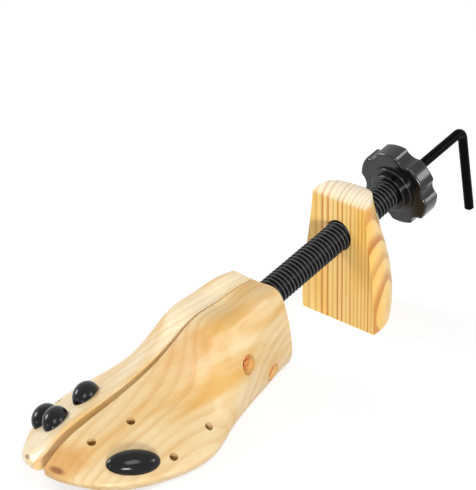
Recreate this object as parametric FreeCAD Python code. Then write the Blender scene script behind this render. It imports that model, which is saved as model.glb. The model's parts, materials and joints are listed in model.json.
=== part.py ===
import FreeCAD, Part
import math
import os

V = FreeCAD.Vector

# Two-way shoe stretcher: a split wooden forepart that a spindle spreads,
# and a wooden heel block that a threaded tube drives away from it.
# The tube's thread is drawn as rings, one for each turn, and the other threads plain.
# Millimetres, +Z up, toe towards -Y, hook towards +Y, +X is the wearer's left.
# The origin is the middle of the heel block's foot.

# Sides of the forepart, as the sign of X
LEFT = 1
RIGHT = -1

# Tube and its line: the axis rises towards the rear
TUBE_RADIUS = 8.0
TUBE_ROOT_RADIUS = 7.1
TUBE_BORE_RADIUS = 3.1
THREAD_START = 1.0
THREAD_PITCH = 2.6
THREAD_FOOT_SHARE = 0.42
THREAD_CREST_SHARE = 0.12
AXIS_TILT = 12.8
REAR_GAP = 65.8

# Heel block
BLOCK_HALF_WIDTH = 25.6
BLOCK_HEIGHT = 76.5
BLOCK_DEPTH = 34.0
BLOCK_SHARES = (
    # height, half-width, depth
    (0.0, 0.98, 0.94),
    (0.12, 1.0, 1.0),
    (0.34, 0.95, 1.0),
    (0.56, 0.855, 0.88),
    (0.78, 0.76, 0.69),
    (1.0, 0.70, 0.53),
)
BLOCK_STEPS = 10
DOME_RADIUS = 18.0
DOME_SETBACK = 10.5
BLOCK_BORE_RADIUS = 8.6

# Nut in the heel block
NUT_RADIUS = 9.6
NUT_LENGTH = 12.0
NUT_FLANGE_RADIUS = 11.5
NUT_FLANGE = 2.5
NUT_REAR = 21.0
NUT_EAR = 15.5
NUT_EAR_HALF_WIDTH = 3.2
NUT_THREAD_GAP = 0.3
NUT_SCREW_OUT = 13.0
NUT_SCREW_RADIUS = 1.1
NUT_SCREW_LENGTH = 9.0
NUT_SCREW_HEAD_RADIUS = 1.9
NUT_SCREW_HEAD = 1.3

# Forepart, as half-sections from the toe to the rear
LAST_LENGTH = 167.0
LAST_HALF_WIDTH = 46.0
LAST_HEIGHT = 54.4
LAST_REAR_SHARE = 0.948
AXIS_SHARE = 0.690
LAST_SHARES = (
    # station, left and right half-width, crown, sole, waist, power, flank hollow, sole width
    (0.004, 0.152, 0.100, 0.268, 0.199, 0.232, 1.60, 0.00, 0.50),
    (0.024, 0.391, 0.276, 0.316, 0.162, 0.224, 1.35, 0.00, 0.60),
    (0.060, 0.572, 0.405, 0.379, 0.116, 0.208, 1.20, 0.00, 0.66),
    (0.120, 0.748, 0.575, 0.447, 0.062, 0.184, 1.15, 0.00, 0.72),
    (0.204, 0.878, 0.755, 0.496, 0.020, 0.162, 1.20, 0.00, 0.76),
    (0.300, 0.965, 0.895, 0.544, 0.000, 0.143, 1.22, 0.00, 0.80),
    (0.383, 1.000, 0.968, 0.596, 0.000, 0.129, 1.25, 0.00, 0.82),
    (0.467, 0.948, 0.940, 0.667, 0.000, 0.121, 1.32, 0.02, 0.82),
    (0.551, 0.822, 0.822, 0.778, 0.000, 0.129, 1.60, 0.07, 0.80),
    (0.629, 0.710, 0.710, 0.893, 0.000, 0.148, 2.60, 0.14, 0.79),
    (0.719, 0.614, 0.614, 0.945, 0.000, 0.195, 4.20, 0.15, 0.76),
    (0.809, 0.530, 0.530, 0.972, 0.000, 0.250, 5.60, 0.10, 0.71),
    (0.898, 0.463, 0.463, 0.990, 0.000, 0.330, 6.40, 0.04, 0.60),
    (0.988, 0.414, 0.414, 1.004, 0.000, 0.410, 6.80, 0.00, 0.45),
    (1.078, 0.395, 0.395, 1.018, 0.000, 0.450, 7.00, 0.00, 0.38),
)
CROWN_STEPS = 8
EDGE_STEPS = 4
SLIT_HALF_GAP = 0.2
REST_OPEN = 1.3
MAX_OPEN = 4.2

# Hinge of the two halves: a barrel on two pins, crossed by the tube's neck
PIVOT_IN = 9.5
BARREL_RADIUS = 7.2
BARREL_HALF_HEIGHT = 9.0
BARREL_FLAT = 5.5
WELL_GAP = 0.4
PIN_RADIUS = 2.5
PIN_FOOT = 5.4
PIN_TOP = 13.9
RUN_FIT = 0.05
NECK_RADIUS = 4.6
NECK_END = 18.5
WASHER_RADIUS = 7.4
WASHER = 1.2
CLIP_GROOVE = 0.4
CLIP_RADIUS = 6.6
CLIP = 1.2
CLIP_SLOT = 5.0
MOUTH_RADIUS = 9.3
MOUTH_GAP = 1.3

# Hinge leaves and their screws
LEAF = 2.0
LEAF_FACE = 5.2
LUG = 2.0
LUG_GAP = 0.3
LUG_RADIUS = 5.5
LUG_INNER = 1.0
LUG_FRONT = 24.0
LUG_REAR = 18.0
LEAF_FRONT = 45.5
LEAF_NOSE_TOP = 5.0
LEAF_NOSE_BOTTOM = 7.0
LEAF_SHOULDER = 30.0
LEAF_TOE = 25.0
LEAF_HEEL = 13.5
LEAF_HEEL_TOP = 19.0
LEAF_BOTTOM = 29.0
LEAF_WAIST = 14.0
BAY_GAP = 0.5
SCREW_RADIUS = 2.1
SCREW_HEAD_RADIUS = 4.8
SCREW_HEAD = 3.0
SCREW_SLOT = 1.0
SCREW_SLOT_DEPTH = 1.6
SCREW_SLOT_HALF = 3.2
SCREW_RECESS_RADIUS = 5.2
SCREW_HOLE_GAP = 0.2
FRONT_SCREW_IN = 40.3
FRONT_SCREW_DOWN = 0.3
FRONT_SCREW_SEAT = 20.5
REAR_SCREW_IN = 19.8
REAR_SCREW_DOWN = 23.5
REAR_SCREW_SEAT = 14.5

# Spreader: a cross nut that the spindle drives between two cam blocks
SPREADER_RADIUS = 9.0
SPREADER_HALF_HEIGHT = 6.3
SPREADER_CLOSED_IN = 58.0
SPREADER_REST_TRAVEL = 3.24
SPREADER_BORE_GAP = 0.35
CAM_ANGLE = 20.0
CAM_GAP = 0.4
CAM_BACK = 15.0
CAM_REAR = 50.0
CAM_FRONT = 75.0
CAM_HALF_HEIGHT = 6.5
CAM_BAY_REAR = 47.0
CAM_BAY_FRONT = 82.0
CAM_BAY_HALF_HEIGHT = 7.0
CHANNEL_RADIUS = 3.7
CHANNEL_END = 85.0

# Spindle with its bent hook
SPINDLE_RADIUS = 2.75
SPINDLE_END = 82.0
COLLAR_RADIUS = 4.4
COLLAR = 2.0
COLLAR_GAP = 0.5
HOOK_BEND = 175.5
HOOK_BEND_RADIUS = 4.5
HOOK_TURN = 92.5
HOOK_LEG = 53.2
HOOK_TIP_SOFTEN = 0.8

# Knob on the rear end of the tube
KNOB_RADIUS = 22.5
KNOB_FRONT = 113.0
KNOB_THICKNESS = 11.2
KNOB_LOBES = 6
KNOB_PHASE = 24.0
KNOB_SCALLOP_RADIUS = 7.5
KNOB_SCALLOP_DEPTH = 2.4
KNOB_SOFTEN = 1.3
KNOB_COLLAR_RADIUS = 11.2
KNOB_COLLAR = 4.6
KNOB_STEP_RADIUS = 13.8
KNOB_STEP = 1.6
KNOB_RING_SOFTEN = 0.6
KNOB_FLOOR = 2.2
GRUB_RADIUS = 1.2
GRUB_STAND = 1.0
GRUB_BACK = 1.5

# Bunion plugs and their holes in the forepart
HOLE_RADIUS = 2.25
HOLE_DEPTH = 11.0
STEM_RADIUS = 2.2
STEM_LENGTH = 9.0
PLUG_GAP = 0.3
PLUG_HALF_LENGTH = 9.4
PLUG_HALF_WIDTH = 6.3
PLUG_HEIGHT = 7.0
OVAL_SHIFT = 3.5
OVAL_TURN = -14.0
OVAL_HALF_LENGTH = 13.6
OVAL_HALF_WIDTH = 6.9
OVAL_HEIGHT = 5.6
LEFT_HOLE_SHARES = {
    # station, half-width, from the toe and from the slit
    "top_front": (0.141, 0.216),
    "top_rear": (0.280, 0.307),
    "side_middle": (0.301, 0.845),
    "side_rear": (0.470, 0.794),
}
RIGHT_HOLE_SHARES = {
    "top_front": (0.163, 0.290),
    "top_rear": (0.298, 0.342),
    "side_middle": (0.301, 0.830),
    "side_rear": (0.470, 0.780),
}

# The side hole in front lies behind the top one and outwards of it
LEFT_SIDE_BACK = 8.4
LEFT_SIDE_OUT = 17.4
RIGHT_SIDE_BACK = 4.4
RIGHT_SIDE_OUT = 12.9

# Smoothness of the lofted wood
LOFT_DEGREE = 3

# Every cutting tool runs this far past what it cuts
OVERRUN = 60.0

FACE_Y = -BLOCK_SHARES[0][-1] * BLOCK_DEPTH / 2
TILT = math.radians(AXIS_TILT)
HUB = FreeCAD.Placement(
    V(0, FACE_Y - REAR_GAP * math.cos(TILT), AXIS_SHARE * LAST_HEIGHT),
    FreeCAD.Rotation(V(1, 0, 0), AXIS_TILT),
)
TOE_Y = HUB.Base.y - LAST_REAR_SHARE * LAST_LENGTH
PIVOT = HUB.multVec(V(0, -PIVOT_IN, 0))
PIVOT_AXIS = HUB.Rotation.multVec(V(0, 0, 1))
SHOULDER = -PIVOT_IN + BARREL_FLAT + WASHER + 2 * RUN_FIT
KNOB_REAR = KNOB_FRONT + KNOB_THICKNESS
TUBE_END = KNOB_REAR - KNOB_FLOOR


def placed(shape):
    """Move a shape from the tube's line into the frame of the part."""
    moved = shape.copy()
    moved.Placement = HUB.multiply(moved.Placement)
    return moved


def opened(shape, side):
    """Turn a shape of one half from closed to the rest opening."""
    turned = shape.copy()
    turned.rotate(PIVOT, PIVOT_AXIS, side * REST_OPEN)
    return turned


def mirrored(shape):
    """Mirror a shape across the slit."""
    return shape.mirror(V(0, 0, 0), V(1, 0, 0))


def rod(radius, start, end):
    """Make a cylinder on the tube's line."""
    return Part.makeCylinder(radius, end - start, V(0, start, 0), V(0, 1, 0))


def post(radius, low, high, along):
    """Make a cylinder that stands across the tube's line."""
    return Part.makeCylinder(radius, high - low, V(0, along, low), V(0, 0, 1))


def cross(radius, start, end, along, height):
    """Make a cylinder that runs sideways."""
    return Part.makeCylinder(radius, end - start, V(start, along, height), V(1, 0, 0))


def block(low, high):
    """Make a box between two corners."""
    size = high - low
    return Part.makeBox(size.x, size.y, size.z, low)


def side_prism(points, start, end):
    """Extrude an outline of along-and-up points sideways."""
    corners = [V(start, along, height) for along, height in points]
    face = Part.Face(Part.makePolygon(corners + corners[:1]))
    return face.extrude(V(end - start, 0, 0))


def upright_prism(points, low, high):
    """Extrude an outline of sideways-and-along points upwards."""
    corners = [V(across, along, low) for across, along in points]
    face = Part.Face(Part.makePolygon(corners + corners[:1]))
    return face.extrude(V(0, 0, high - low))


def curve(points):
    """Run one smooth edge through the points."""
    spline = Part.BSplineCurve()
    spline.interpolate(points)
    return spline.toShape()


def half_section(shares, side):
    """Make one half-section of the forepart, drawn on the left for either side."""
    station, left, right, crown, sole, waist, power, hollow, sole_width = shares
    along = TOE_Y + station * LAST_LENGTH
    reach = (left if side == LEFT else right) * LAST_HALF_WIDTH
    top = crown * LAST_HEIGHT
    bottom = sole * LAST_HEIGHT
    middle = waist * LAST_HEIGHT
    points = []
    for step in range(CROWN_STEPS + 1):
        angle = math.pi / 2 * step / CROWN_STEPS
        flank = 1 - hollow * math.sin(2 * angle) ** 2
        out = flank * reach * math.sin(angle) ** (2 / power)
        up = middle + (top - middle) * math.cos(angle) ** (2 / power)
        points.append(V(out, along, up))
    for step in range(1, EDGE_STEPS + 1):
        angle = math.pi / 2 * step / EDGE_STEPS
        out = reach * (sole_width + (1 - sole_width) * math.cos(angle))
        up = middle - (middle - bottom) * math.sin(angle)
        points.append(V(out, along, up))
    floor = V(0, along, bottom)
    return Part.Wire([curve(points), Part.makeLine(points[-1], floor), Part.makeLine(floor, points[0])])


def half_blank(side):
    """Make one half of the forepart, closed and drawn on the left, before any hole."""
    sections = [half_section(shares, side) for shares in LAST_SHARES]
    blank = Part.makeLoft(sections, True, False, False, LOFT_DEGREE)
    big = LAST_LENGTH + OVERRUN
    rear = placed(block(V(-OVERRUN, 0, -big), V(LAST_HALF_WIDTH + OVERRUN, OVERRUN, big)))
    slit = placed(block(V(-OVERRUN, -big, -big), V(SLIT_HALF_GAP, OVERRUN, big)))
    relief = slit.copy()
    relief.rotate(PIVOT, PIVOT_AXIS, -MAX_OPEN)
    return blank.cut(rear).cut(slit).cut(relief)


def hole_sites(blank, hole_shares, side_back, side_out):
    """Return the place and the outward direction of every plug hole of a half."""
    feet = {}
    for name, (station, width) in hole_shares.items():
        feet[name] = V(width * LAST_HALF_WIDTH, TOE_Y + station * LAST_LENGTH, -OVERRUN)
    feet["side_front"] = feet["top_front"] + V(side_out, side_back, 0)
    return {name: hole_site(blank, foot) for name, foot in feet.items()}


def hole_site(blank, foot):
    """Return the place on the wood above a foot, and the direction out of the wood there."""
    ray = Part.makeLine(foot, foot + V(0, 0, LAST_HEIGHT + 2 * OVERRUN))
    hits = [vertex.Point for vertex in ray.common(blank).Vertexes]
    site = max(hits, key=lambda point: point.z)
    face = min(blank.Faces, key=lambda item: item.distToShape(Part.Vertex(site))[0])
    return site, face.normalAt(*face.Surface.parameter(site))


def leaf_outline(gap):
    """Return the side outline of a hinge leaf, let out by a gap."""
    crest = BARREL_HALF_HEIGHT + 2 * (LUG_GAP + LUG)
    return (
        (-LEAF_FRONT - gap, LEAF_NOSE_TOP + gap),
        (-LEAF_FRONT - gap, -LEAF_NOSE_BOTTOM - gap),
        (-LEAF_TOE - gap, -LEAF_BOTTOM - gap),
        (-LEAF_HEEL + gap, -LEAF_BOTTOM - gap),
        (-LEAF_HEEL + gap, -LEAF_HEEL_TOP + gap),
        (-LUG_REAR + gap, -LEAF_WAIST + gap),
        (-LUG_REAR + gap, crest + gap),
        (-LEAF_SHOULDER - gap, crest + gap),
    )


def half_pockets():
    """Make the tools that hollow a half, drawn on the left, for the mechanism."""
    back = LEAF_FACE + LEAF
    well_height = PIN_TOP + WELL_GAP
    well = post(BARREL_RADIUS + WELL_GAP, -well_height, well_height, -PIVOT_IN)
    bay = side_prism(leaf_outline(BAY_GAP), 0, back)
    throat = block(V(0, -LUG_FRONT, -well_height), V(back, -PIVOT_IN, well_height))
    mouth = rod(MOUTH_RADIUS, -PIVOT_IN + BARREL_FLAT - MOUTH_GAP, OVERRUN)
    cam_bay = block(
        V(0, -CAM_BAY_FRONT, -CAM_BAY_HALF_HEIGHT),
        V(CAM_BACK, -CAM_BAY_REAR, CAM_BAY_HALF_HEIGHT),
    )
    channel = rod(CHANNEL_RADIUS, -CHANNEL_END, -LEAF_FRONT + LEAF)
    tools = [well, bay, throat, mouth, cam_bay, channel]
    for along, height, seat in screw_sites():
        tools.append(cross(SCREW_RADIUS + SCREW_HOLE_GAP, back, seat, along, height))
        tools.append(cross(SCREW_RECESS_RADIUS, seat, LAST_HALF_WIDTH + OVERRUN, along, height))
    return [placed(tool) for tool in tools]


def screw_sites():
    """Return along, height and seat of the two screws of a half."""
    return (
        (-FRONT_SCREW_IN, -FRONT_SCREW_DOWN, FRONT_SCREW_SEAT),
        (-REAR_SCREW_IN, -REAR_SCREW_DOWN, REAR_SCREW_SEAT),
    )


def half_wood(blank, sites):
    """Make one half of the forepart, closed and drawn on the left, with all its holes."""
    wood = blank
    for tool in half_pockets():
        wood = wood.cut(tool)
    for site, out in sites.values():
        hole = Part.makeCylinder(HOLE_RADIUS, HOLE_DEPTH + OVERRUN, site - out * HOLE_DEPTH, out)
        wood = wood.cut(hole)
    return wood


def leaf(first_lug):
    """Make a left hinge leaf: a plate with one lug above the barrel and one below."""
    back = LEAF_FACE + LEAF
    plate = side_prism(leaf_outline(0), LEAF_FACE, back)
    low = BARREL_HALF_HEIGHT + first_lug
    outline = (
        (LUG_INNER, -LUG_FRONT),
        (back, -LUG_FRONT),
        (back, -LUG_REAR),
        (LUG_RADIUS, -PIVOT_IN),
        (-LUG_RADIUS, -PIVOT_IN),
        (LUG_INNER, -LUG_REAR),
    )
    for base in (low, -low - LUG):
        lug = upright_prism(outline, base, base + LUG)
        lug = lug.fuse(post(LUG_RADIUS, base, base + LUG, -PIVOT_IN))
        plate = plate.fuse(lug)
    plate = plate.cut(post(PIN_RADIUS + RUN_FIT, -OVERRUN, OVERRUN, -PIVOT_IN))
    for along, height, _ in screw_sites():
        plate = plate.cut(cross(SCREW_RADIUS, 0, OVERRUN, along, height))
    return plate.removeSplitter()


def leaf_screw(along, height, seat):
    """Make one cross-headed screw that holds a leaf in its half."""
    top = seat + SCREW_HEAD
    screw = cross(SCREW_RADIUS, LEAF_FACE, seat, along, height)
    screw = screw.fuse(cross(SCREW_HEAD_RADIUS, seat, top, along, height))
    middle = V(top - SCREW_SLOT_DEPTH, along, height)
    for wide, tall in ((SCREW_SLOT_HALF, SCREW_SLOT / 2), (SCREW_SLOT / 2, SCREW_SLOT_HALF)):
        screw = screw.cut(block(middle - V(0, wide, tall), middle + V(OVERRUN, wide, tall)))
    return screw


def cam_block():
    """Make the left cam block, whose sloping face the spreader pushes."""
    slope = math.tan(math.radians(CAM_ANGLE))
    near = (SPREADER_RADIUS + CAM_GAP) / math.cos(math.radians(CAM_ANGLE))
    rear = near + (SPREADER_CLOSED_IN - CAM_REAR) * slope
    front = near - (CAM_FRONT - SPREADER_CLOSED_IN) * slope
    outline = ((rear, -CAM_REAR), (front, -CAM_FRONT), (CAM_BACK, -CAM_FRONT), (CAM_BACK, -CAM_REAR))
    return upright_prism(outline, -CAM_HALF_HEIGHT, CAM_HALF_HEIGHT)


def barrel():
    """Make the hinge barrel, flattened where the tube's neck crosses it."""
    body = post(BARREL_RADIUS, -BARREL_HALF_HEIGHT, BARREL_HALF_HEIGHT, -PIVOT_IN)
    keep = V(BARREL_RADIUS, BARREL_FLAT, BARREL_HALF_HEIGHT)
    middle = V(0, -PIVOT_IN, 0)
    body = body.common(block(middle - keep, middle + keep))
    body = body.cut(rod(NECK_RADIUS + RUN_FIT, -OVERRUN, 0))
    for end in (1, -1):
        body = body.cut(pin(end))
    return body


def pin(end):
    """Make the upper or lower hinge pin."""
    low, high = sorted((end * PIN_FOOT, end * PIN_TOP))
    return post(PIN_RADIUS, low, high, -PIVOT_IN)


def thread_outline():
    """Return the radius and the place along the tube of every corner of its thread."""
    foot = THREAD_FOOT_SHARE * THREAD_PITCH
    crest = THREAD_CREST_SHARE * THREAD_PITCH
    corners = []
    for turn in range(math.floor((KNOB_FRONT - KNOB_COLLAR - THREAD_START) / THREAD_PITCH)):
        middle = THREAD_START + (turn + 1 / 2) * THREAD_PITCH
        corners.append((TUBE_ROOT_RADIUS, middle - foot))
        corners.append((TUBE_RADIUS, middle - crest))
        corners.append((TUBE_RADIUS, middle + crest))
        corners.append((TUBE_ROOT_RADIUS, middle + foot))
    return corners


def tube():
    """Turn the threaded tube with its neck and the clip's groove at the front."""
    clip_front = -PIVOT_IN - BARREL_FLAT - RUN_FIT - CLIP
    clip_radius = NECK_RADIUS - CLIP_GROOVE
    outline = [
        (TUBE_BORE_RADIUS, -NECK_END),
        (NECK_RADIUS, -NECK_END),
        (NECK_RADIUS, clip_front),
        (clip_radius, clip_front),
        (clip_radius, clip_front + CLIP),
        (NECK_RADIUS, clip_front + CLIP),
        (NECK_RADIUS, SHOULDER),
        (TUBE_ROOT_RADIUS, SHOULDER),
    ]
    outline += thread_outline()
    outline += [(TUBE_ROOT_RADIUS, TUBE_END), (TUBE_BORE_RADIUS, TUBE_END)]
    corners = [V(radius, along, 0) for radius, along in outline]
    face = Part.Face(Part.makePolygon(corners + corners[:1]))
    return face.revolve(V(0, 0, 0), V(0, 1, 0), 360)


def thrust_washer():
    """Make the washer between the barrel and the tube's shoulder."""
    start = -PIVOT_IN + BARREL_FLAT + RUN_FIT
    ring = rod(WASHER_RADIUS, start, start + WASHER)
    return ring.cut(rod(NECK_RADIUS + RUN_FIT, start, start + WASHER))


def neck_clip():
    """Make the open clip that keeps the neck in the barrel."""
    start = -PIVOT_IN - BARREL_FLAT - RUN_FIT - CLIP
    ring = rod(CLIP_RADIUS, start, start + CLIP)
    ring = ring.cut(rod(NECK_RADIUS - CLIP_GROOVE, start, start + CLIP))
    half_slot = V(CLIP_SLOT / 2, 0, 0)
    return ring.cut(block(V(0, start, 0) - half_slot, V(0, start + CLIP, CLIP_RADIUS) + half_slot))


def knob():
    """Make the lobed knob with its stepped collar."""
    body = rod(KNOB_RADIUS, KNOB_FRONT, KNOB_REAR)
    ring = KNOB_RADIUS - KNOB_SCALLOP_DEPTH + KNOB_SCALLOP_RADIUS
    for lobe in range(KNOB_LOBES):
        angle = math.radians(KNOB_PHASE) + 2 * math.pi * lobe / KNOB_LOBES
        scallop = rod(KNOB_SCALLOP_RADIUS, KNOB_FRONT, KNOB_REAR)
        scallop.translate(V(ring * math.sin(angle), 0, ring * math.cos(angle)))
        body = body.cut(scallop)
    body = body.makeFillet(KNOB_SOFTEN, body.Edges)
    body = body.fuse(knob_ring(KNOB_STEP_RADIUS, KNOB_FRONT - KNOB_STEP))
    body = body.fuse(knob_ring(KNOB_COLLAR_RADIUS, KNOB_FRONT - KNOB_COLLAR))
    body = body.cut(rod(TUBE_ROOT_RADIUS, KNOB_FRONT - KNOB_COLLAR, TUBE_END))
    body = body.cut(rod(TUBE_BORE_RADIUS, TUBE_END, KNOB_REAR))
    return body.cut(grub_screw())


def knob_ring(radius, start):
    """Make one round step of the knob's collar, its front rim softened."""
    ring = rod(radius, start, KNOB_FRONT + KNOB_SOFTEN)
    rim = min(ring.Edges, key=lambda item: item.CenterOfMass.y)
    return ring.makeFillet(KNOB_RING_SOFTEN, [rim])


def grub_screw():
    """Make the grub screw that locks the knob on the tube."""
    high = KNOB_COLLAR_RADIUS + GRUB_STAND
    screw = post(GRUB_RADIUS, 0, high, KNOB_FRONT - KNOB_STEP - GRUB_BACK)
    screw.rotate(V(0, 0, 0), V(0, 1, 0), KNOB_PHASE)
    return screw.cut(rod(TUBE_ROOT_RADIUS, KNOB_FRONT - KNOB_COLLAR, KNOB_FRONT))


def spindle():
    """Make the spindle, bent at the rear into the hook that turns it."""
    turn = math.radians(HOOK_TURN)
    start = V(0, -SPINDLE_END, 0)
    corner = V(0, HOOK_BEND, 0)
    line = V(0, 1, 0)
    leg = V(0, math.cos(turn), -math.sin(turn))
    tangent = HOOK_BEND_RADIUS * math.tan(turn / 2)
    inward = (leg - line).normalize()
    bend_start = corner - line * tangent
    bend_middle = corner + inward * (HOOK_BEND_RADIUS / math.cos(turn / 2) - HOOK_BEND_RADIUS)
    bend_end = corner + leg * tangent
    path = Part.Wire([
        Part.makeLine(start, bend_start),
        Part.Arc(bend_start, bend_middle, bend_end).toShape(),
        Part.makeLine(bend_end, corner + leg * HOOK_LEG),
    ])
    ring = Part.Wire(Part.makeCircle(SPINDLE_RADIUS, start, V(0, 1, 0)))
    body = path.makePipeShell([ring], True, True)
    edge = min(body.Edges, key=lambda item: item.CenterOfMass.z)
    return body.makeChamfer(HOOK_TIP_SOFTEN, [edge])


def spindle_collar(start):
    """Make a collar pressed on the spindle."""
    ring = rod(COLLAR_RADIUS, start, start + COLLAR)
    return ring.cut(rod(SPINDLE_RADIUS, start, start + COLLAR))


def spreader():
    """Make the cross nut that spreads the halves."""
    along = -SPREADER_CLOSED_IN - SPREADER_REST_TRAVEL
    body = post(SPREADER_RADIUS, -SPREADER_HALF_HEIGHT, SPREADER_HALF_HEIGHT, along)
    return body.cut(rod(SPINDLE_RADIUS + SPREADER_BORE_GAP, -CHANNEL_END, 0))


def block_section(shares):
    """Make one level section of the heel block: flat in front, round behind."""
    height, width, depth = shares
    points = []
    for step in range(BLOCK_STEPS + 1):
        angle = math.pi * step / BLOCK_STEPS
        out = width * BLOCK_HALF_WIDTH * math.cos(angle)
        back = FACE_Y + depth * BLOCK_DEPTH * math.sin(angle)
        points.append(V(out, back, height * BLOCK_HEIGHT))
    return Part.Wire([curve(points), Part.makeLine(points[-1], points[0])])


def block_wood():
    """Make the heel block, domed on top and bored for the tube and nut."""
    sections = [block_section(shares) for shares in BLOCK_SHARES]
    body = Part.makeLoft(sections, True, False, False, LOFT_DEGREE)
    brow = BLOCK_HEIGHT - DOME_RADIUS
    wide = V(2 * BLOCK_HALF_WIDTH, 2 * BLOCK_DEPTH, 0)
    dome_line = V(-wide.x, FACE_Y + DOME_SETBACK, brow)
    dome = Part.makeCylinder(DOME_RADIUS, 2 * wide.x, dome_line, V(1, 0, 0))
    below = block(V(-wide.x, -wide.y, -OVERRUN), V(wide.x, wide.y, brow))
    body = body.common(below.fuse(dome))
    seat = REAR_GAP + NUT_REAR
    tools = [
        rod(BLOCK_BORE_RADIUS, 0, seat),
        rod(NUT_RADIUS, seat - NUT_LENGTH, seat),
        nut_flange(seat - NUT_FLANGE, seat + OVERRUN),
        nut_screw(1),
        nut_screw(-1),
    ]
    for tool in tools:
        body = body.cut(placed(tool))
    return body


def nut_flange(start, end):
    """Make the nut's flange: a disc with an ear above and one below."""
    disc = rod(NUT_FLANGE_RADIUS, start, end)
    ear = V(NUT_EAR_HALF_WIDTH, 0, NUT_EAR)
    return disc.fuse(block(V(0, start, 0) - ear, V(0, end, 0) + ear))


def nut():
    """Make the flanged nut that rides on the tube's thread."""
    rear = REAR_GAP + NUT_REAR
    body = rod(NUT_RADIUS, rear - NUT_LENGTH, rear)
    body = body.fuse(nut_flange(rear - NUT_FLANGE, rear))
    body = body.cut(rod(TUBE_RADIUS + NUT_THREAD_GAP, 0, rear))
    for end in (1, -1):
        body = body.cut(nut_screw(end))
    return body


def nut_screw(end):
    """Make the upper or lower screw of the nut's flange, flush with its rear face."""
    rear = REAR_GAP + NUT_REAR
    screw = rod(NUT_SCREW_RADIUS, rear - NUT_FLANGE - NUT_SCREW_LENGTH, rear)
    screw = screw.fuse(rod(NUT_SCREW_HEAD_RADIUS, rear - NUT_SCREW_HEAD, rear))
    screw.translate(V(0, 0, end * NUT_SCREW_OUT))
    return screw


def plug(blank, site, out, half_length, half_width, height, shift, turn):
    """Make a bunion plug, drawn on the left, that fits the wood under its domed head."""
    along = V(0, 0, 1).cross(out).normalize()
    down = along.cross(out)
    ball = Part.makeSphere(height)
    stretch = FreeCAD.Matrix()
    stretch.scale(half_length / height, half_width / height, 1)
    head = ball.transformGeometry(stretch)
    head.Placement = FreeCAD.Placement(site + down * shift, FreeCAD.Rotation(along, V(0, 0, 0), out, "ZXY"))
    head.rotate(site + down * shift, out, turn)
    wood = blank.copy()
    wood.translate(out * PLUG_GAP)
    stem = Part.makeCylinder(STEM_RADIUS, STEM_LENGTH + height / 4, site - out * STEM_LENGTH, out)
    return head.cut(wood).fuse(stem).removeSplitter()


def build():
    """Return every node of the part by name."""
    nodes = {}
    oval = (OVAL_HALF_LENGTH, OVAL_HALF_WIDTH, OVAL_HEIGHT, OVAL_SHIFT, OVAL_TURN)
    small = (PLUG_HALF_LENGTH, PLUG_HALF_WIDTH, PLUG_HEIGHT, 0, 0)
    blank = half_blank(LEFT)
    sites = hole_sites(blank, LEFT_HOLE_SHARES, LEFT_SIDE_BACK, LEFT_SIDE_OUT)
    left = {
        "left_half": half_wood(blank, sites),
        "left_leaf": placed(leaf(LUG_GAP)),
        "left_front_screw": placed(leaf_screw(*screw_sites()[0])),
        "left_rear_screw": placed(leaf_screw(*screw_sites()[1])),
        "left_cam_block": placed(cam_block()),
        "left_side_plug": plug(blank, *sites["side_front"], *oval),
    }
    blank = half_blank(RIGHT)
    sites = hole_sites(blank, RIGHT_HOLE_SHARES, RIGHT_SIDE_BACK, RIGHT_SIDE_OUT)
    right = {
        "right_half": half_wood(blank, sites),
        "right_leaf": placed(leaf(2 * LUG_GAP + LUG)),
        "right_front_screw": left["left_front_screw"],
        "right_rear_screw": left["left_rear_screw"],
        "right_cam_block": left["left_cam_block"],
        "right_front_plug": plug(blank, *sites["top_front"], *small),
        "right_rear_plug": plug(blank, *sites["top_rear"], *small),
        "right_side_plug": plug(blank, *sites["side_front"], *small),
    }
    for name, shape in left.items():
        nodes[name] = opened(shape, LEFT)
    for name, shape in right.items():
        nodes[name] = opened(mirrored(shape), RIGHT)
    on_line = {
        "barrel": barrel(),
        "upper_pin": pin(1),
        "lower_pin": pin(-1),
        "tube": tube(),
        "thrust_washer": thrust_washer(),
        "neck_clip": neck_clip(),
        "knob": knob(),
        "grub_screw": grub_screw(),
        "spindle": spindle(),
        "front_collar": spindle_collar(-NECK_END - COLLAR_GAP - COLLAR),
        "rear_collar": spindle_collar(KNOB_REAR + COLLAR_GAP),
        "spreader": spreader(),
        "heel_nut": nut(),
        "upper_nut_screw": nut_screw(1),
        "lower_nut_screw": nut_screw(-1),
    }
    for name, shape in on_line.items():
        nodes[name] = placed(shape)
    nodes["heel_block"] = block_wood()
    return nodes


os.makedirs("parts", exist_ok=True)
for node_name, node_shape in build().items():
    node_shape.exportStep("parts/" + node_name + ".step")
    print(node_name, node_shape.ShapeType, len(node_shape.Solids), node_shape.isValid(), node_shape.BoundBox)
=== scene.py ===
"""Looks of a two-way wooden shoe stretcher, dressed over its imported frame.

The frame holds every piece at its real size, in metres, with the toe towards -Y and +Z up.
This script models the tube's thread and gives every surface its finish.
"""

import json
import logging
import math
from dataclasses import dataclass
from enum import Enum
from typing import Sequence, Union

import bmesh
import bpy
from mathutils import Matrix, Vector

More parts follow.
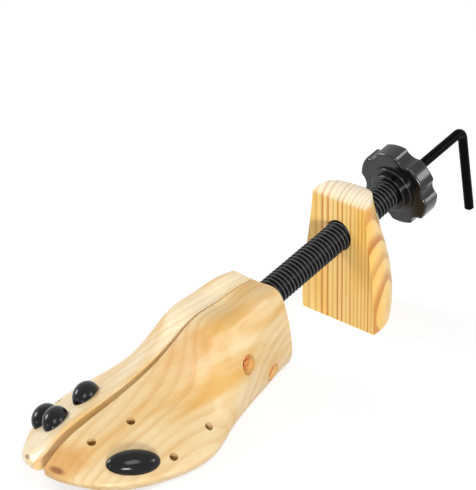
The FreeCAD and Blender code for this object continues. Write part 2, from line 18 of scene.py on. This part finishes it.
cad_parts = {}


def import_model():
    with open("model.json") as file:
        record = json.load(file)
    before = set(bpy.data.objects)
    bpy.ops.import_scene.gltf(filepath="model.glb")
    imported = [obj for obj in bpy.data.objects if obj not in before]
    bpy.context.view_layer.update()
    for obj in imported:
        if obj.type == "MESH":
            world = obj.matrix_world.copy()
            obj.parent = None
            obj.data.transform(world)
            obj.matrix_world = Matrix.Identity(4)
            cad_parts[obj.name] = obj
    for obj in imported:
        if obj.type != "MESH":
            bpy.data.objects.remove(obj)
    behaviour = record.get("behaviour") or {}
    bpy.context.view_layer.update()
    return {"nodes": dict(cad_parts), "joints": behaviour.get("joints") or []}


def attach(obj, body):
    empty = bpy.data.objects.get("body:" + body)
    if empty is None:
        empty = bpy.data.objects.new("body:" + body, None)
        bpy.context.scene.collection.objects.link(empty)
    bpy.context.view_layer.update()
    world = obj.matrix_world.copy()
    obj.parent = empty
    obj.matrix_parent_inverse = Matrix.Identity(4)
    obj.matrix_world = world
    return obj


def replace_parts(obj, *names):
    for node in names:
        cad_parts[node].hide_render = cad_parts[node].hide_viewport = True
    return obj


LOG = logging.getLogger("shoe_stretcher")
MM = 0.001
WHITE = (1.0, 1.0, 1.0, 1.0)
NOISE_MIDDLE = 0.5

# Sockets of a Mix node that mixes colours
MIX_SHARE, MIX_FIRST, MIX_SECOND, MIX_RESULT = 0, 6, 7, 2

Colour = tuple[float, float, float, float]
Span = tuple[float, float]
Sizes = tuple[float, float, float]
Value = Union["Wire", float, Sequence[float]]


class Grain(Enum):
    """Which way the fibres of a wooden piece run, as the order of across, over and along."""

    LENGTHWISE = (0, 2, 1)
    UPRIGHT = (0, 1, 2)


class Wire:
    """An output socket that takes part in arithmetic."""

    def __init__(self, graph: "NodeGraph", socket: bpy.types.NodeSocket) -> None:
        """Keep the socket and the graph that it belongs to."""
        self.graph = graph
        self.socket = socket

    def math(self, operation: str, first: Value, second: Value = 0.0) -> "Wire":
        """Add one Math node."""
        return self.graph.add("ShaderNodeMath", {"operation": operation}, {0: first, 1: second})

    def __add__(self, other: Value) -> "Wire":
        """Add."""
        return self.math("ADD", self, other)

    def __radd__(self, other: Value) -> "Wire":
        """Add, reflected."""
        return self.math("ADD", other, self)

    def __sub__(self, other: Value) -> "Wire":
        """Subtract."""
        return self.math("SUBTRACT", self, other)

    def __rsub__(self, other: Value) -> "Wire":
        """Subtract, reflected."""
        return self.math("SUBTRACT", other, self)

    def __mul__(self, other: Value) -> "Wire":
        """Multiply."""
        return self.math("MULTIPLY", self, other)

    def __rmul__(self, other: Value) -> "Wire":
        """Multiply, reflected."""
        return self.math("MULTIPLY", other, self)

    def __truediv__(self, other: Value) -> "Wire":
        """Divide."""
        return self.math("DIVIDE", self, other)

    def __pow__(self, other: Value) -> "Wire":
        """Raise to a power."""
        return self.math("POWER", self, other)

    def floor(self) -> "Wire":
        """Round down."""
        return self.math("FLOOR", self)

    def rise(self, low: float, high: float) -> "Wire":
        """Climb smoothly from 0 at low to 1 at high.

        Args:
            low: Where the climb starts.
            high: Where it ends.

        Returns:
            The smooth step.
        """
        settings = {"interpolation_type": "SMOOTHSTEP"}
        links = {"Value": self, "From Min": low, "From Max": high}
        return self.graph.add("ShaderNodeMapRange", settings, links)


class NodeGraph:
    """The node tree of one material, with a Principled shader at its end."""

    def __init__(self, name: str) -> None:
        """Make the material and its shader.

        Args:
            name: The material's name.
        """
        self.material = bpy.data.materials.new(name)
        self.material.use_nodes = True
        self.tree = self.material.node_tree
        self.shader = self.tree.nodes["Principled BSDF"]

    def add(
        self,
        kind: str,
        settings: dict[str, object] | None = None,
        links: dict[str | int, Value] | None = None,
        output: str | int = 0,
    ) -> Wire:
        """Add any node.

        Args:
            kind: The node's type.
            settings: Its own settings, set first.
            links: Values or wires for its sockets.
            output: The socket to return.

        Returns:
            The chosen output.
        """
        node = self.tree.nodes.new(kind)
        for name, value in (settings or {}).items():
            setattr(node, name, value)
        for key, value in (links or {}).items():
            self.plug(node.inputs[key], value)
        return Wire(self, node.outputs[output])

    def plug(self, socket: bpy.types.NodeSocket, value: Value) -> None:
        """Link a wire to a socket, or set the socket's value.

        Args:
            socket: The input to feed.
            value: A wire, a number or a colour.
        """
        if isinstance(value, Wire):
            self.tree.links.new(value.socket, socket)
        else:
            socket.default_value = value

    def set(self, **values: Value) -> None:
        """Set or link sockets of the shader, named with _ for a blank."""
        for name, value in values.items():
            self.plug(self.shader.inputs[name.replace("_", " ")], value)

    def place(self) -> list[Wire]:
        """Read the place on the piece.

        Returns:
            x, y and z in millimetres.
        """
        point = self.add("ShaderNodeTexCoord", output="Object")
        parts = self.add("ShaderNodeSeparateXYZ", links={0: point})
        return [Wire(self, socket) / MM for socket in parts.socket.node.outputs]

    def point(self, parts: Sequence[Value]) -> Wire:
        """Join three values to a vector."""
        return self.add("ShaderNodeCombineXYZ", links=dict(enumerate(parts)))

    def noise(
        self,
        parts: Sequence[Wire],
        sizes: Sequence[float],
        detail: float = 2.0,
        seed: float = 0.0,
    ) -> Wire:
        """Make soft noise.

        Args:
            parts: The three coordinates, in millimetres.
            sizes: The size of a patch along each, in millimetres.
            detail: How many finer layers are added.
            seed: A shift that gives another pattern.

        Returns:
            Noise about a half.
        """
        scaled = self.point([part / size + seed for part, size in zip(parts, sizes)])
        links = {"Vector": scaled, "Scale": 1.0, "Detail": detail}
        return self.add("ShaderNodeTexNoise", links=links)

    def chance(self, value: Wire) -> Wire:
        """Draw one fixed random number for each value."""
        return self.add("ShaderNodeTexWhiteNoise", {"noise_dimensions": "1D"}, {"W": value})

    def mix(self, first: Value, second: Value, share: Value) -> Wire:
        """Mix two colours."""
        links = {MIX_SHARE: share, MIX_FIRST: first, MIX_SECOND: second}
        return self.add("ShaderNodeMix", {"data_type": "RGBA"}, links, MIX_RESULT)

    def bump(self, height: Wire, strength: float, depth: float) -> Wire:
        """Turn a height into a normal."""
        links = {"Height": height, "Strength": strength, "Distance": depth}
        return self.add("ShaderNodeBump", links=links)


@dataclass(frozen=True)
class Mark:
    """A knot or a split in the wood, or an amber patch of painted shade, in millimetres."""

    place: Sizes
    reach: Sizes
    colour: Colour
    strength: float
    core_share: float = 0.35


@dataclass(frozen=True)
class Pine:
    """Lacquered pine, solid grown: rings round a pith line, fibres along it. Millimetres."""

    name: str
    grain: Grain
    pith: Span
    lean: Span
    ring: float
    wander: float
    pale: Colour
    gold: Colour
    late: Colour
    strength: float
    seed: float
    crowd: float = 1.0
    end: Span | None = None
    cream: Colour = (0.97, 0.89, 0.73, 1.0)
    marks_and_painted_shade: tuple[Mark, ...] = ()
    fibre_size: Sizes = (0.55, 0.55, 16.0)
    glow_size: Sizes = (13.0, 13.0, 90.0)
    sway_size: Sizes = (30.0, 30.0, 210.0)
    glow_seed: float = 3.1
    sway_seed: float = 7.7
    heave_seed: float = 11.3
    fibre_span: Span = (0.52, 0.80)
    glow_span: Span = (0.36, 0.70)
    darkening_span: Span = (0.32, 0.82)
    ending_span: Span = (0.88, 1.0)
    faintest_share: float = 0.40
    fibre_share: float = 0.22
    glow_share: float = 0.9
    cream_share: float = 0.8
    far_along_fade_share: float = 0.6
    late_relief_share: float = 0.5
    roughness: float = 0.40
    fibre_roughness: float = 0.10
    coat: float = 0.35
    coat_roughness: float = 0.18
    gleam: float = 0.30
    relief: float = 0.10
    relief_depth: float = 0.12

    def material(self) -> bpy.types.Material:
        """Build the finish.

        Returns:
            The material.
        """
        graph = NodeGraph(self.name)
        place = graph.place()
        parts = [place[axis] for axis in self.grain.value]
        late = self.late_wood(graph, parts)
        fibre = graph.noise(parts, self.fibre_size, detail=3.0, seed=self.seed)
        glow = graph.noise(parts, self.glow_size, detail=3.0, seed=self.seed + self.glow_seed)
        colour = graph.mix(self.pale, self.gold, glow.rise(*self.glow_span) * self.glow_share)
        # Paler, with fainter rings, towards the far end of the fibre axis; on the heel block this is its
        # domed top.
        if self.end:
            far_along = parts[-1].rise(*self.end)
            colour = graph.mix(colour, self.cream, far_along * self.cream_share)
            late = late * (1.0 - far_along * self.far_along_fade_share)
        colour = graph.mix(colour, self.late, late * self.strength)
        colour = graph.mix(colour, self.late, fibre.rise(*self.fibre_span) * self.fibre_share)
        # Knots and splits, and patches of painted shade, each blended in as a soft blot.
        for mark in self.marks_and_painted_shade:
            colour = graph.mix(colour, mark.colour, self.blot(place, mark))
        graph.set(Base_Color=colour, Roughness=self.roughness + fibre * self.fibre_roughness)
        graph.set(Coat_Weight=self.coat, Coat_Roughness=self.coat_roughness)
        height = late * self.late_relief_share + fibre
        normal = graph.bump(height, self.relief, self.relief_depth * MM)
        graph.set(Specular_IOR_Level=self.gleam, Normal=normal)
        return graph.material

    def late_wood(self, graph: NodeGraph, parts: Sequence[Wire]) -> Wire:
        """Draw the dark late wood of each ring, soft inside and crisp outside.

        Args:
            graph: The material's graph.
            parts: Across, over and along, in millimetres.

        Returns:
            How dark the wood is, from 0 to 1.
        """
        across, over, along = parts
        sway, heave = (
            graph.noise(parts, self.sway_size, detail=1.5, seed=self.seed + seed) - NOISE_MIDDLE
            for seed in (self.sway_seed, self.heave_seed)
        )
        side = across - self.pith[0] - along * self.lean[0] + sway * self.wander
        rise = over - self.pith[1] - along * self.lean[1] + heave * self.wander
        count = ((side * side + rise * rise) ** 0.5 / self.ring) ** self.crowd
        year = count.floor()
        share = count - year
        line = share.rise(*self.darkening_span) * (1.0 - share.rise(*self.ending_span))
        swing = (1.0 - self.faintest_share) * graph.chance(year + self.seed)
        return line * (self.faintest_share + swing)

    def blot(self, place: Sequence[Wire], mark: Mark) -> Wire:
        """Draw one mark as a soft blot.

        Args:
            place: x, y and z in millimetres.
            mark: The mark.

        Returns:
            How much of the mark shows.
        """
        spans = [(part - middle) / reach for part, middle, reach in zip(place, mark.place, mark.reach)]
        far = (spans[0] * spans[0] + spans[1] * spans[1] + spans[2] * spans[2]) ** 0.5
        return (1.0 - far.rise(mark.core_share, 1.0)) * mark.strength


@dataclass(frozen=True)
class Moulded:
    """Black moulded plastic, gloss or satin, with the faint cloudiness of a moulding."""

    name: str
    colour: Colour
    dust: Colour
    roughness: float
    gleam: float
    grain: float
    cloud_size: Sizes = (7.0, 7.0, 7.0)
    speck_size: Sizes = (0.35, 0.35, 0.35)
    cloud_span: Span = (0.45, 0.9)
    speck_span: Span = (0.55, 0.85)
    cloud_share: float = 0.3
    speck_share: float = 0.5
    rough_least: float = 0.85
    rough_swing: float = 0.30
    grain_depth: float = 0.05

    def material(self) -> bpy.types.Material:
        """Build the finish.

        Returns:
            The material.
        """
        graph = NodeGraph(self.name)
        place = graph.place()
        cloud = graph.noise(place, self.cloud_size, detail=3.0)
        speck = graph.noise(place, self.speck_size)
        clouds = cloud.rise(*self.cloud_span) * self.cloud_share
        specks = speck.rise(*self.speck_span) * self.speck_share
        graph.set(Base_Color=graph.mix(self.colour, self.dust, specks + clouds))
        graph.set(Roughness=self.roughness * (self.rough_least + cloud * self.rough_swing))
        graph.set(Specular_IOR_Level=self.gleam)
        graph.set(Normal=graph.bump(speck, self.grain, self.grain_depth * MM))
        return graph.material


@dataclass(frozen=True)
class Metal:
    """Bare or blacked metal with fine turning lines and handling wear."""

    name: str
    colour: Colour
    worn: Colour
    metallic: float
    roughness: float
    gleam: float = 0.5
    rub_size: Sizes = (3.0, 3.0, 3.0)
    line_size: Sizes = (2.5, 0.22, 2.5)
    rub_span: Span = (0.50, 0.82)
    worn_share: float = 0.7
    rough_least: float = 0.8
    rough_swing: float = 0.4
    line_relief: float = 0.06
    line_depth: float = 0.04

    def material(self) -> bpy.types.Material:
        """Build the finish.

        Returns:
            The material.
        """
        graph = NodeGraph(self.name)
        place = graph.place()
        rub = graph.noise(place, self.rub_size, detail=4.0)
        line = graph.noise(place, self.line_size)
        colour = graph.mix(self.colour, self.worn, rub.rise(*self.rub_span) * self.worn_share)
        graph.set(Base_Color=colour, Metallic=self.metallic, Specular_IOR_Level=self.gleam)
        graph.set(Roughness=self.roughness * (self.rough_least + line * self.rough_swing))
        graph.set(Normal=graph.bump(line, self.line_relief, self.line_depth * MM))
        return graph.material


@dataclass(frozen=True)
class WornThreadWithPaintedGlint:
    """A blacked screw thread whose crests are painted paler, as rubbed wear and as a painted highlight
    along each crest. Radii in millimetres from its line.
    """

    name: str
    black: Colour
    worn: Colour
    shade: float
    crest: float
    roughness: float
    gleam: float
    grit_size: Sizes = (1.2, 1.2, 1.2)
    crest_glint_least: float = 0.55
    crest_glint_swing: float = 0.9
    rough_least: float = 0.8
    rough_swing: float = 0.4
    relief: float = 0.05
    relief_depth: float = 0.04

    def material(self, joint: dict[str, object]) -> bpy.types.Material:
        """Build the finish.

        Args:
            joint: The joint on whose line the thread turns.

        Returns:
            The material.
        """
        graph = NodeGraph(self.name)
        place = graph.place()
        start = Vector(joint["pos_m"]) / MM
        line = Vector(joint["axis"])
        across = place[0] - start.x
        over = (place[2] - start.z) * line.y - (place[1] - start.y) * line.z
        # Paler from the shade radius out to the crest: rubbed wear together with a painted crest highlight.
        rub = ((across * across + over * over) ** 0.5).rise(self.shade, self.crest)
        grit = graph.noise(place, self.grit_size, detail=3.0)
        wear = rub * (self.crest_glint_least + grit * self.crest_glint_swing)
        graph.set(Base_Color=graph.mix(self.black, self.worn, wear), Specular_IOR_Level=self.gleam)
        graph.set(Roughness=self.roughness * (self.rough_least + grit * self.rough_swing))
        graph.set(Normal=graph.bump(grit, self.relief, self.relief_depth * MM))
        return graph.material


BROWN = (0.24, 0.075, 0.02, 1.0)
# Amber for soft patches of painted shade on the wood.
PAINTED_SHADE_AMBER = (0.62, 0.30, 0.07, 1.0)
LEFT_PINE = Pine(
    name="left_pine",
    grain=Grain.LENGTHWISE,
    pith=(-60.0, -15.0),
    lean=(0.0, 0.03),
    ring=3.4,
    wander=6.0,
    # Darker pale and gold than the right half's: painted shade, the same pine toned down for the light on
    # this half.
    pale=(0.79, 0.605, 0.335, 1.0),
    gold=(0.68, 0.385, 0.09, 1.0),
    late=(0.58, 0.26, 0.055, 1.0),
    strength=0.38,
    seed=2.3,
    marks_and_painted_shade=(
        # Two patches of painted shade: on the near toe tip and in the hollow under the instep brow. Then a
        # real knot.
        Mark((9.0, -231.0, 17.0), (14.0, 20.0, 9.0), PAINTED_SHADE_AMBER, 0.75),
        Mark((12.0, -143.0, 41.0), (17.0, 30.0, 13.0), PAINTED_SHADE_AMBER, 0.40),
        Mark((10.3, -235.7, 15.2), (6.4, 3.0, 1.8), BROWN, 0.85),
    ),
)
RIGHT_PINE = Pine(
    name="right_pine",
    grain=Grain.LENGTHWISE,
    pith=(55.0, -20.0),
    lean=(0.0, 0.03),
    ring=3.6,
    wander=6.0,
    # Lighter pale and gold than the left half's: painted light, the same pine toned up for the light on
    # this half.
    pale=(0.95, 0.80, 0.53, 1.0),
    gold=(0.84, 0.55, 0.19, 1.0),
    late=(0.60, 0.28, 0.065, 1.0),
    strength=0.28,
    seed=5.9,
    marks_and_painted_shade=(Mark((-10.2, -235.9, 14.4), (4.4, 2.0, 1.3), BROWN, 0.85),),
)
HEEL_PINE = Pine(
    name="heel_pine",
    grain=Grain.UPRIGHT,
    pith=(-72.0, -30.0),
    lean=(0.0, 0.0),
    ring=31.8,
    crowd=2.6,
    wander=3.0,
    pale=(0.95, 0.67, 0.235, 1.0),
    gold=(0.91, 0.54, 0.12, 1.0),
    late=(0.56, 0.19, 0.014, 1.0),
    strength=1.0,
    seed=8.4,
    end=(71.0, 75.5),
)
PLUG_BLACK = Moulded(
    name="plug_black",
    colour=(0.004, 0.004, 0.005, 1.0),
    dust=(0.008, 0.008, 0.009, 1.0),
    roughness=0.16,
    gleam=0.24,
    grain=0.02,
)
KNOB_BLACK = Moulded(
    name="knob_black",
    colour=(0.006, 0.006, 0.007, 1.0),
    dust=(0.014, 0.014, 0.015, 1.0),
    roughness=0.16,
    gleam=0.50,
    grain=0.06,
)
CAM_BLACK = Moulded(
    name="cam_black",
    colour=(0.030, 0.030, 0.032, 1.0),
    dust=(0.055, 0.055, 0.060, 1.0),
    roughness=0.50,
    gleam=0.30,
    grain=0.10,
)
THREAD_BLACK = WornThreadWithPaintedGlint(
    name="thread_black",
    black=(0.003, 0.003, 0.004, 1.0),
    # The crest colour is rubbed wear and a painted crest highlight.
    worn=(0.11, 0.11, 0.115, 1.0),
    shade=7.72,
    crest=8.0,
    roughness=0.26,
    gleam=0.08,
)
HOOK_BLACK = Metal(
    name="hook_black",
    colour=(0.002, 0.002, 0.003, 1.0),
    worn=(0.006, 0.006, 0.007, 1.0),
    metallic=0.0,
    roughness=0.20,
    gleam=0.03,
)
ZINC = Metal(
    name="zinc",
    colour=(0.60, 0.60, 0.61, 1.0),
    worn=(0.44, 0.44, 0.46, 1.0),
    metallic=1.0,
    roughness=0.34,
)
SCREW_BRASS = Metal(
    name="screw_brass",
    colour=(0.80, 0.50, 0.28, 1.0),
    worn=(0.62, 0.33, 0.16, 1.0),
    metallic=1.0,
    roughness=0.34,
)
NUT_BRASS = Metal(
    name="nut_brass",
    colour=(0.78, 0.58, 0.28, 1.0),
    worn=(0.62, 0.42, 0.18, 1.0),
    metallic=1.0,
    roughness=0.32,
)


def dress(piece: bpy.types.Object, material: bpy.types.Material) -> None:
    """Give a piece one material and report it.

    Args:
        piece: The piece.
        material: Its finish.
    """
    piece.data.materials.clear()
    piece.data.materials.append(material)
    LOG.info("%s: %s", piece.name, material.name)


def finished(name: str, work: bmesh.types.BMesh, material: bpy.types.Material) -> bpy.types.Object:
    """Turn a bmesh into a smooth piece at the origin.

    Args:
        name: The piece's name.
        work: The mesh, in metres.
        material: Its finish.

    Returns:
        The new object.
    """
    mesh = bpy.data.meshes.new(name)
    work.to_mesh(mesh)
    work.free()
    mesh.shade_smooth()
    piece = bpy.data.objects.new(name, mesh)
    bpy.context.scene.collection.objects.link(piece)
    dress(piece, material)
    return piece


@dataclass
class Woodwork:
    """The wooden pieces: the two halves of the forepart and the heel block."""

    nodes: dict[str, bpy.types.Object]

    def build(self) -> None:
        """Dress the three pieces of wood."""
        for node, pine in (("left_half", LEFT_PINE), ("right_half", RIGHT_PINE), ("heel_block", HEEL_PINE)):
            dress(self.nodes[node], pine.material())


@dataclass
class LengthScrew:
    """The threaded tube with its knob. Sizes in millimetres along and across the tube's line."""

    nodes: dict[str, bpy.types.Object]
    joint: dict[str, object]
    crest: float = 8.0
    root: float = 7.1
    neck: float = 4.6
    bore: float = 3.1
    pitch: float = 2.6
    neck_end: float = -18.5
    shoulder: float = -2.7
    thread_start: float = 1.0
    thread_end: float = 108.4
    tube_end: float = 122.0
    steps: int = 56
    weld: float = 0.001
    trim: float = 0.0001
    outline_shares: tuple[Span, ...] = (
        (0.0, -1.0), (0.14, -0.92), (0.27, -0.2), (0.38, 0.72), (0.46, 0.98),
        (0.54, 0.98), (0.62, 0.72), (0.73, -0.2), (0.86, -0.92), (1.0, -1.0),
    )

    def build(self) -> None:
        """Model the tube and dress the knob and its screw."""
        black = THREAD_BLACK.material(self.joint)
        tube = finished("screw_thread", self.tube(), black)
        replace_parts(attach(tube, "screw_tube"), "tube")
        LOG.info("screw_thread: %d faces", len(tube.data.polygons))
        dress(self.nodes["knob"], KNOB_BLACK.material())
        dress(self.nodes["grub_screw"], HOOK_BLACK.material())
        zinc = ZINC.material()
        for node in ("thrust_washer", "neck_clip"):
            dress(self.nodes[node], zinc)

    def tube(self) -> bmesh.types.BMesh:
        """Model the tube's core and the thread round it.

        Returns:
            The mesh, in its place.
        """
        work = bmesh.new()
        self.core(work)
        self.thread(work)
        bmesh.ops.recalc_face_normals(work, faces=work.faces)
        line = Vector(self.joint["axis"])
        side = Vector((1.0, 0.0, 0.0))
        turn = Matrix((side, line.cross(side), line)).transposed().to_4x4()
        place = Matrix.Translation(Vector(self.joint["pos_m"]))
        bmesh.ops.transform(work, matrix=place @ turn @ Matrix.Scale(MM, 4), verts=work.verts)
        return work

    def core(self, work: bmesh.types.BMesh) -> None:
        """Spin the bored core with its neck.

        Args:
            work: The mesh that takes the core.
        """
        outline = (
            (self.bore, self.neck_end),
            (self.neck, self.neck_end),
            (self.neck, self.shoulder),
            (self.root, self.shoulder),
            (self.root, self.tube_end),
            (self.bore, self.tube_end),
        )
        verts = [work.verts.new((radius, 0.0, along)) for radius, along in outline]
        edges = [work.edges.new(pair) for pair in zip(verts, verts[1:] + verts[:1])]
        bmesh.ops.spin(
            work, geom=verts + edges, cent=(0, 0, 0), axis=(0, 0, 1), dvec=(0, 0, 0),
            angle=2 * math.pi, steps=self.steps, use_merge=True,
        )

    def thread(self, work: bmesh.types.BMesh) -> None:
        """Screw one pitch of rounded outline along the tube and trim its ends.

        Args:
            work: The mesh that takes the thread.
        """
        band = bmesh.new()
        middle, half = (self.crest + self.root) / 2, (self.crest - self.root) / 2
        start = self.thread_start - self.pitch
        verts = [
            band.verts.new((middle + up * half, 0.0, start + along * self.pitch))
            for along, up in self.outline_shares
        ]
        edges = [band.edges.new(pair) for pair in zip(verts, verts[1:])]
        turns = math.ceil((self.thread_end - start) / self.pitch) + 1
        bmesh.ops.spin(
            band, geom=verts + edges, cent=(0, 0, 0), axis=(0, 0, 1), dvec=(0, 0, self.pitch / self.steps),
            angle=2 * math.pi * turns, steps=self.steps * turns, use_merge=False,
        )
        bmesh.ops.remove_doubles(band, verts=band.verts, dist=self.weld)
        for along, way in ((self.thread_start, -1.0), (self.thread_end, 1.0)):
            geom = list(band.verts) + list(band.edges) + list(band.faces)
            bmesh.ops.bisect_plane(
                band, geom=geom, dist=self.trim,
                plane_co=(0, 0, along), plane_no=(0, 0, way), clear_outer=True,
            )
        rims = [edge for edge in band.edges if edge.is_boundary]
        bmesh.ops.holes_fill(band, edges=rims, sides=0)
        spare = bpy.data.meshes.new("thread_band")
        band.to_mesh(spare)
        band.free()
        work.from_mesh(spare)
        bpy.data.meshes.remove(spare)


@dataclass
class WidthScrew:
    """The hooked spindle, its collars and the spreader between the cam blocks."""

    nodes: dict[str, bpy.types.Object]

    def build(self) -> None:
        """Dress the spindle and what it drives."""
        black = HOOK_BLACK.material()
        for node in ("spindle", "rear_collar"):
            dress(self.nodes[node], black)
        dress(self.nodes["front_collar"], ZINC.material())
        dress(self.nodes["spreader"], NUT_BRASS.material())
        cam = CAM_BLACK.material()
        for side in ("left", "right"):
            dress(self.nodes[f"{side}_cam_block"], cam)


@dataclass
class Fittings:
    """The hinge, its leaves, the heel nut and every screw."""

    nodes: dict[str, bpy.types.Object]

    def build(self) -> None:
        """Dress the metal fittings."""
        zinc = ZINC.material()
        brass = SCREW_BRASS.material()
        for node in ("barrel", "upper_pin", "lower_pin", "left_leaf", "right_leaf", "heel_nut"):
            dress(self.nodes[node], zinc)
        for node, piece in self.nodes.items():
            if node.endswith("_screw") and node != "grub_screw":
                dress(piece, brass)


@dataclass
class BunionPlugs:
    """The four black plugs on the toe."""

    nodes: dict[str, bpy.types.Object]

    def build(self) -> None:
        """Dress the plugs."""
        gloss = PLUG_BLACK.material()
        for node, piece in self.nodes.items():
            if node.endswith("_plug"):
                dress(piece, gloss)


@dataclass(frozen=True)
class SoftBox:
    """One large soft lamp. Metres and watts."""

    name: str
    place: tuple[float, float, float]
    size: tuple[float, float]
    power: float

    def hang(self, aim: Vector) -> None:
        """Hang the lamp and aim it.

        Args:
            aim: The point that it faces, in metres.
        """
        light = bpy.data.lights.new(self.name, "AREA")
        light.shape = "RECTANGLE"
        light.size, light.size_y = self.size
        light.energy = self.power
        lamp = bpy.data.objects.new(self.name, light)
        lamp.location = self.place
        lamp.rotation_euler = (aim - lamp.location).to_track_quat("-Z", "Y").to_euler()
        lamp.visible_camera = False
        bpy.context.scene.collection.objects.link(lamp)


@dataclass
class Studio:
    """Pale floor, soft lamps, white surround and the camera. Metres and degrees."""

    aim: tuple[float, float, float] = (0.0, -0.0949, 0.07753)
    azimuth: float = 42.99
    elevation: float = 27.54
    roll: float = -1.05
    distance: float = 1.1527
    lens: float = 166.76
    floor_half: float = 6.0
    floor_grey: float = 0.40
    floor_lift: float = 0.70
    surround: float = 0.31
    boxes: tuple[SoftBox, ...] = (
        SoftBox("right_box", (1.30, -1.10, 0.16), (0.45, 0.24), 17.5),
        SoftBox("top_box", (0.85, -0.30, 1.15), (0.60, 0.60), 6.8),
        SoftBox("left_box", (-1.20, -0.50, 0.75), (0.50, 0.50), 11.0),
        SoftBox("front_box", (-0.35, -1.55, 0.45), (0.30, 0.30), 2.0),
        SoftBox("back_box", (1.15, 0.95, 0.75), (0.50, 0.40), 4.5),
    )

    def build(self) -> None:
        """Set up the whole studio."""
        self.lay_floor()
        self.light()
        self.set_camera()

    def background_ray(self, graph: bpy.types.NodeTree) -> bpy.types.NodeSocket:
        """Tell rays from the camera, or mirrored or let through, from the rest.

        Args:
            graph: The node tree to add to.

        Returns:
            A socket that is 1 for such rays and 0 for others.
        """
        path = graph.nodes.new("ShaderNodeLightPath")
        total = path.outputs["Is Camera Ray"]
        for name in ("Is Glossy Ray", "Is Transmission Ray"):
            add = graph.nodes.new("ShaderNodeMath")
            add.operation = "MAXIMUM"
            graph.links.new(total, add.inputs[0])
            graph.links.new(path.outputs[name], add.inputs[1])
            total = add.outputs[0]
        return total

    def lay_floor(self) -> None:
        """Lay a pale floor that fades to white and keeps the shadow."""
        work = bmesh.new()
        bmesh.ops.create_grid(work, x_segments=1, y_segments=1, size=self.floor_half)
        material = bpy.data.materials.new("pale_floor")
        material.use_nodes = True
        tree = material.node_tree
        shader = tree.nodes["Principled BSDF"]
        shader.inputs["Base Color"].default_value = (*[self.floor_grey] * 3, 1.0)
        shader.inputs["Roughness"].default_value = 1.0
        shader.inputs["Specular IOR Level"].default_value = 0.0
        shader.inputs["Emission Color"].default_value = WHITE
        lift = tree.nodes.new("ShaderNodeMath")
        lift.operation = "MULTIPLY"
        lift.inputs[1].default_value = self.floor_lift
        tree.links.new(self.background_ray(tree), lift.inputs[0])
        tree.links.new(lift.outputs[0], shader.inputs["Emission Strength"])
        floor = finished("floor", work, material)

    def light(self) -> None:
        """Hang the lamps and set the surround."""
        scene = bpy.context.scene
        scene.view_settings.view_transform = "Standard"
        world = bpy.data.worlds.new("surround")
        scene.world = world
        world.use_nodes = True
        tree = world.node_tree
        background = tree.nodes["Background"]
        background.inputs["Color"].default_value = WHITE
        blend = tree.nodes.new("ShaderNodeMapRange")
        blend.inputs["To Min"].default_value = self.surround
        blend.inputs["To Max"].default_value = 1.0
        tree.links.new(self.background_ray(tree), blend.inputs["Value"])
        tree.links.new(blend.outputs[0], background.inputs["Strength"])
        for box in self.boxes:
            box.hang(Vector(self.aim))

    def set_camera(self) -> None:
        """Set the camera where the picture was taken from."""
        angles = (self.azimuth, self.elevation, self.roll)
        azimuth, elevation, roll = (math.radians(angle) for angle in angles)
        back = Vector((
            math.sin(azimuth) * math.cos(elevation),
            -math.cos(azimuth) * math.cos(elevation),
            math.sin(elevation),
        ))
        level = Vector((math.cos(azimuth), math.sin(azimuth), 0.0))
        upright = back.cross(level)
        right = level * math.cos(roll) + upright * math.sin(roll)
        up = upright * math.cos(roll) - level * math.sin(roll)
        data = bpy.data.cameras.new("camera")
        data.lens = self.lens
        camera = bpy.data.objects.new("camera", data)
        turn = Matrix((right, up, back)).transposed().to_4x4()
        camera.matrix_world = Matrix.Translation(Vector(self.aim) + back * self.distance) @ turn
        bpy.context.scene.collection.objects.link(camera)
        bpy.context.scene.camera = camera


def main() -> None:
    """Build every sub-assembly in order."""
    logging.basicConfig(level=logging.INFO)
    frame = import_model()
    nodes = frame["nodes"]
    joints = {joint["name"]: joint for joint in frame["joints"]}
    Woodwork(nodes).build()
    LengthScrew(nodes, joints["knob_turn"]).build()
    WidthScrew(nodes).build()
    Fittings(nodes).build()
    BunionPlugs(nodes).build()
    Studio().build()


if __name__ == "__main__":
    main()
